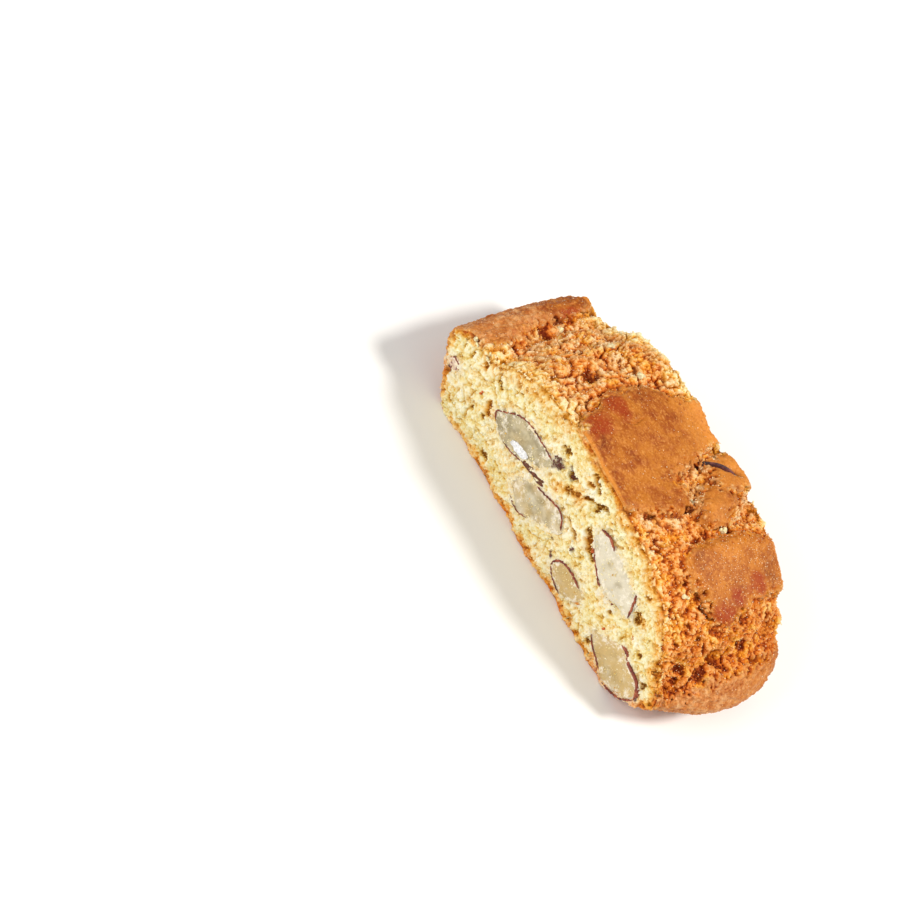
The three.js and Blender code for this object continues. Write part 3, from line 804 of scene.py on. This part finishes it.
def add_skin_line(bm, side, line, width, seed):
    """A flat wavering strand along a kernel's rim, tapered at both ends, just proud of the cut face."""
    curve = bpy.data.curves.new("strand", "CURVE")
    curve.dimensions, curve.bevel_depth, curve.bevel_resolution, curve.use_fill_caps = "3D", 1, 1, True
    at = even_points(line, 0.22)
    spline = curve.splines.new("POLY")
    spline.points.add(len(at) - 1)
    for i, (point, p) in enumerate(zip(spline.points, at)):
        wander = Vector((noise.noise(Vector((i * 0.3, seed, 0))),
                         noise.noise(Vector((i * 0.3, seed, 9))))) * 0.22
        end = min(1, i / 4, (len(at) - 1 - i) / 4)
        p = p + wander
        point.co = (p.x, side * (face_at + 0.14 + 0.1 * noise.noise(Vector((i * 0.4, seed, 5)))), p.y, 1)
        point.radius = width / 2 * (0.25 + 0.75 * end) * (1 + 0.7 * noise.noise(Vector((i * 0.5, seed, 3))))
    strand = bpy.data.objects.new("strand", curve)
    mesh = bpy.data.meshes.new_from_object(strand)
    for v in mesh.vertices:
        nearest_y = side * (face_at + 0.14)
        v.co.y = nearest_y + (v.co.y - nearest_y) * 0.7
        v.co = loaf_middle + v.co * mm
    bm.from_mesh(mesh)
    bpy.data.objects.remove(strand)
    bpy.data.curves.remove(curve)
    bpy.data.meshes.remove(mesh)


def add_flake(bm, side, line, width, curl, lift, seed):
    """A thin torn flake that lies along a line and curls away from the cut face, as a closed sheet."""
    at = even_points(line, 0.25)
    flake = bmesh.new()
    bmesh.ops.create_grid(flake, x_segments=len(at) - 1, y_segments=6, size=1)
    for v in flake.verts:
        i = round((v.co.x + 1) / 2 * (len(at) - 1))
        ahead = (at[min(i + 1, len(at) - 1)] - at[max(i - 1, 0)]).normalized()
        taper = math.sin(math.pi * (0.03 + 0.94 * i / (len(at) - 1))) ** 0.7
        ragged = 1 + 0.5 * noise.noise(Vector((i * 0.35, v.co.y * 0.8, seed)))
        off = v.co.y * width / 2 * taper * ragged
        p = at[i] + Vector((-ahead.y, ahead.x)) * off
        waver = noise.noise(Vector((p.x * 1.2, p.y * 1.2, seed)))
        out = lift + curl * (0.5 - v.co.y * 0.5) ** 2 + 0.12 * waver
        v.co = loaf_middle + Vector((p.x, side * (face_at + out), p.y)) * mm
    bmesh.ops.recalc_face_normals(flake, faces=flake.faces)
    bmesh.ops.solidify(flake, geom=flake.faces, thickness=0.12 * mm)
    mesh = bpy.data.meshes.new("flake")
    flake.to_mesh(mesh)
    flake.free()
    bm.from_mesh(mesh)
    bpy.data.meshes.remove(mesh)


def plain_finish(name, tone, roughness):
    """A dry finish of one tone, mottled by a fine grain."""
    finish = bpy.data.materials.new(name)
    finish.use_nodes = True
    tree, shader, add = node_chain(finish)
    darker, lighter = [tuple(min(255, c * k) for c in tone) for k in (0.82, 1.12)]
    mottled = tone_ramp(add, grains(add, 0.5, 2), [(0.35, darker), (0.65, lighter)])
    tree.links.new(mottled, shader.inputs["Base Color"])
    shader.inputs["Roughness"].default_value = roughness
    return finish


skins = bmesh.new()
for seed, (width, line) in enumerate(skin_lines):
    add_skin_line(skins, -1, line, width, seed)
for seed, (x, z, length, width, turn, first, last) in enumerate([
    (24.5, 12.4, 16.6, 8.2, 152, 1, 10), (24.5, 12.4, 16.6, 8.2, 152, 14, 20),
    (1.2, 19.4, 15.6, 8, 12, 3, 13), (-22.6, 13.4, 17.2, 8.4, 38, 0, 8),
    (-22.6, 13.4, 17.2, 8.4, 38, 11, 21), (5.4, 6.2, 12.4, 6, 172, 4, 15),
]):
    rim = kernel_outline(x, z, length + 0.3, width + 0.3, turn)
    add_skin_line(skins, 1, rim[first:last], 0.34 + 0.06 * (seed % 3), 20 + seed)
add_flake(skins, -1, [(34.6, 9.5), (35.9, 8.4), (36.6, 6.6)], 0.8, 0.3, 0.12, 33)
piece_of(skins, "almond_skins", skin_look)

chips = bmesh.new()
add_flake(chips, -1, [(-18.4, 12.9), (-16.6, 13.3), (-14.9, 13.7), (-13.6, 14.3)], 1.7, 0.5, 0.2, 41)
add_flake(chips, 1, [(20, 12), (22, 12.6), (24, 13.6)], 1.2, 0.3, 0.12, 44)
piece_of(chips, "almond_chips", plain_finish("almond_chip", (250, 250, 250), 0.5))

flakes = bmesh.new()
add_flake(flakes, -1, [(-13.7, 13), (-12.2, 13.3), (-10.8, 13.9), (-9.2, 14.5), (-7.7, 15.2)], 0.95, 0.5,
          0.25, 31)
add_flake(flakes, -1, [(-10.2, 13.4), (-8.8, 13.5), (-7.2, 14.2)], 0.5, 0.3, 0.2, 34)
piece_of(flakes, "skin_flakes", plain_finish("skin_flake", (104, 54, 28), 0.6))

# Almond in the flap
# The edge of one more kernel breaks out of the crust along the flap beside the wide plate, in its dark skin.
flap_kernel = bmesh.new()
bmesh.ops.create_uvsphere(flap_kernel, u_segments=48, v_segments=24, radius=1)
low, high = almond_boxes["almond_crust"]
flap_turn = Matrix.Rotation(math.radians(46), 4, "Z")
for v in flap_kernel.verts:
    ridge = 1 + 0.12 * noise.noise(v.co * 2.5)
    from_middle = Vector((v.co.x * 4.9 * ridge, v.co.y * 0.95 * ridge, v.co.z * 4.6))
    v.co = (low + high) / 2 + flap_turn @ from_middle * mm
baked_skin = skin_finish("baked_skin", [(0.38, (40, 22, 28)), (0.5, (78, 40, 44)), (0.62, (118, 68, 62))])
piece = piece_of(flap_kernel, "kernel_crust", baked_skin)
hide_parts("almond_crust")

# Crumbs
# Fine crumbs left by the knife and by the cracking cling all over the broken dough: pale on the cut faces,
# browned between the plates. Toasted specks, pale bits and scraps of almond skin are stuck among them.
place_fine = np.zeros(count * 3)
facing_fine = np.zeros(count * 3)
fine.update()
fine.vertices.foreach_get("co", place_fine)
fine.vertex_normals.foreach_get("vector", facing_fine)
place_fine, facing_fine = place_fine.reshape(-1, 3), facing_fine.reshape(-1, 3)


def crumb_shape(rounds):
    """The corners and faces of the plain crumb that a scatter's crumbs are made from."""
    bm = bmesh.new()
    bmesh.ops.create_icosphere(bm, subdivisions=rounds, radius=1)
    corners = np.array([v.co[:] for v in bm.verts])
    faces = np.array([[v.index for v in f.verts] for f in bm.faces])
    bm.free()
    return corners, faces


def random_turns(random, number):
    """Random rotation matrices from random quaternions."""
    w, x, y, z = random.normal(size=(4, number))
    n = np.sqrt(w * w + x * x + y * y + z * z)
    w, x, y, z = w / n, x / n, y / n, z / n
    return np.stack([
        np.stack([1 - 2 * (y * y + z * z), 2 * (x * y - z * w), 2 * (x * z + y * w)], -1),
        np.stack([2 * (x * y + z * w), 1 - 2 * (x * x + z * z), 2 * (y * z - x * w)], -1),
        np.stack([2 * (x * z - y * w), 2 * (y * z + x * w), 1 - 2 * (x * x + y * y)], -1)], -2)


def scatter(name, hosts, number, smallest, largest, proud, finish, seed, level=None, rounds=1):
    """Crumbs on the slice's own points: sizes in mm, mostly small, each turned and stretched its own way."""
    random = np.random.default_rng(seed)
    host = random.choice(hosts, number)
    size = smallest + (largest - smallest) * random.random(number) ** 2.2
    corners, faces = crumb_shape(rounds)
    stretch = random.uniform(0.6, 1.3, (number, 1, 3))
    dents = random.uniform(0.75, 1.2, (number, len(corners), 1))
    shaped = corners[None] * stretch * dents * size[:, None, None]
    shaped = np.einsum("nij,nkj->nki", random_turns(random, number), shaped)
    at = place_fine[host] + facing_fine[host] * (size * proud)[:, None] * mm
    at += random.uniform(-0.13, 0.13, (number, 3)) * mm
    if level:
        at[:, 1] = loaf_middle.y + np.sign(through[host]) * (level + size * proud) * mm
    verts = (shaped * mm + at[:, None]).reshape(-1, 3)
    verts[:, 2] = np.maximum(verts[:, 2], 0)
    rings = (faces[None] + (np.arange(number) * len(corners))[:, None, None]).reshape(-1, 3)
    mesh = bpy.data.meshes.new(name)
    mesh.from_pydata(verts.tolist(), [], rings.tolist())
    own = np.repeat(random.random(number), len(corners))
    # Painted shade: a crumb in a crevice takes the low crest value there and so a darker tone; the rest of
    # its tone is its own at random.
    point_value(mesh, "lift", np.clip(0.12 + 0.4 * own + 0.6 * np.repeat(crest[host], len(corners)), 0, 1))
    point_value(mesh, "brown", np.repeat(brown[host], len(corners)))
    point_value(mesh, "deep", np.repeat(deep[host], len(corners)))
    mesh.shade_smooth()
    mesh.materials.append(finish)
    piece = bpy.data.objects.new(name, mesh)
    bpy.context.scene.collection.objects.link(piece)
    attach(piece, "root")


def crumbs_finish():
    finish = bpy.data.materials.new("crumbs")
    finish.use_nodes = True
    tree, shader, add = node_chain(finish)
    tone = torn_dough_tone(add, attribute(add, "lift"), attribute(add, "brown"))
    tree.links.new(tone, shader.inputs["Base Color"])
    shader.inputs["Roughness"].default_value = 0.8
    return finish


def nearest_points(places, reach):
    """The slice's points within reach mm of the given places."""
    near = np.zeros(count, bool)
    for at in places:
        near |= np.linalg.norm(points - at, axis=1) < reach
    return np.flatnonzero(near)


crumbs_look = crumbs_finish()
open_crumb = is_crumb & ~in_pocket & (cut > 0.4) & (stain < 0.2)
bare_torn = (cut < 0.5) & (plate < 0.5) & (height > 6)
rim_torn = (cut >= 0.5) & ~is_crumb | (plate < 0.8) & (height > 8) & ~is_crumb & (cut < 0.5)
scatter("crumbs_front", np.flatnonzero(open_crumb & (through < 0)), 6000, 0.08, 0.24, 0.1, crumbs_look,
        1)
scatter("crumbs_back", np.flatnonzero(open_crumb & (through > 0)), 6000, 0.08, 0.24, 0.1, crumbs_look,
        2)
scatter("crumbs_torn", np.flatnonzero(bare_torn), 6000, 0.08, 0.26, 0.1, crumbs_look, 3)
scatter("crumbs_rim", np.flatnonzero(rim_torn), 2000, 0.08, 0.24, 0.1, crumbs_look, 4)
scatter("crumbs_on_almonds", np.flatnonzero(in_pocket), 1500, 0.05, 0.2, 0.3, crumbs_look, 5,
        face_at)
toasted = plain_finish("toasted", (206, 96, 30), 0.6)
scatter("toasted_specks", nearest_points([(27, -16, 14.8), (9.7, -16, 4), (9, -16, 17.3), (15, -16, 23.7),
        (22.1, -16, 9.1), (-30, -16, 12), (-3, -16, 27), (20, 16, 18), (-12, 16, 6)], 0.3),
        24, 0.2, 0.36, 0.5, toasted, 6, rounds=2)
pale = plain_finish("pale_bits", (250, 222, 172), 0.8)
scatter("pale_bits", nearest_points([(-37.9, -16, 18.2), (-34.6, -16, 18.4), (-35.6, 5.3, 17.5),
        (-26.2, 6.6, 26.1), (-17.4, 7, 28.9), (6.6, 6.9, 28.4), (8.9, 3.7, 29.2), (9.6, 1.2, 30),
        (14.4, -2, 30), (26, -9.5, 26.5), (17.2, 5, 29.5)], 0.7),
        30, 0.3, 0.65, 0.4, pale, 7, rounds=3)
dark_skin = plain_finish("skin_scraps", (118, 70, 62), 0.7)
scatter("skin_scraps", np.flatnonzero((stain > 0.4) & ~in_pocket), 200, 0.08, 0.24, 0.1, dark_skin,
        8)

# Sugar
# Fine sugar on the crust that has not melted in: tiny shiny grains, densest on the narrow plate.
sugar_look = bpy.data.materials.new("sugar")
sugar_look.use_nodes = True
sugar_shader = sugar_look.node_tree.nodes["Principled BSDF"]
sugar_shader.inputs["Base Color"].default_value = colour(248, 220, 176)
sugar_shader.inputs["Roughness"].default_value = 0.18
sugar_shader.inputs["Specular IOR Level"].default_value = 0.6
on_plate = (plate > 0.6) & (cut < 0.3) & (height > 10)
dense = np.flatnonzero(on_plate & (along > 17) & (along < 36))
sparse = np.flatnonzero(on_plate)
scatter("sugar_dense", dense, 700, 0.05, 0.12, 0.3, sugar_look, 9)
scatter("sugar_sparse", sparse, 600, 0.05, 0.13, 0.3, sugar_look, 10)
scatter("sugar_torn", np.flatnonzero(bare_torn), 1200, 0.06, 0.15, 1.5, sugar_look, 11)
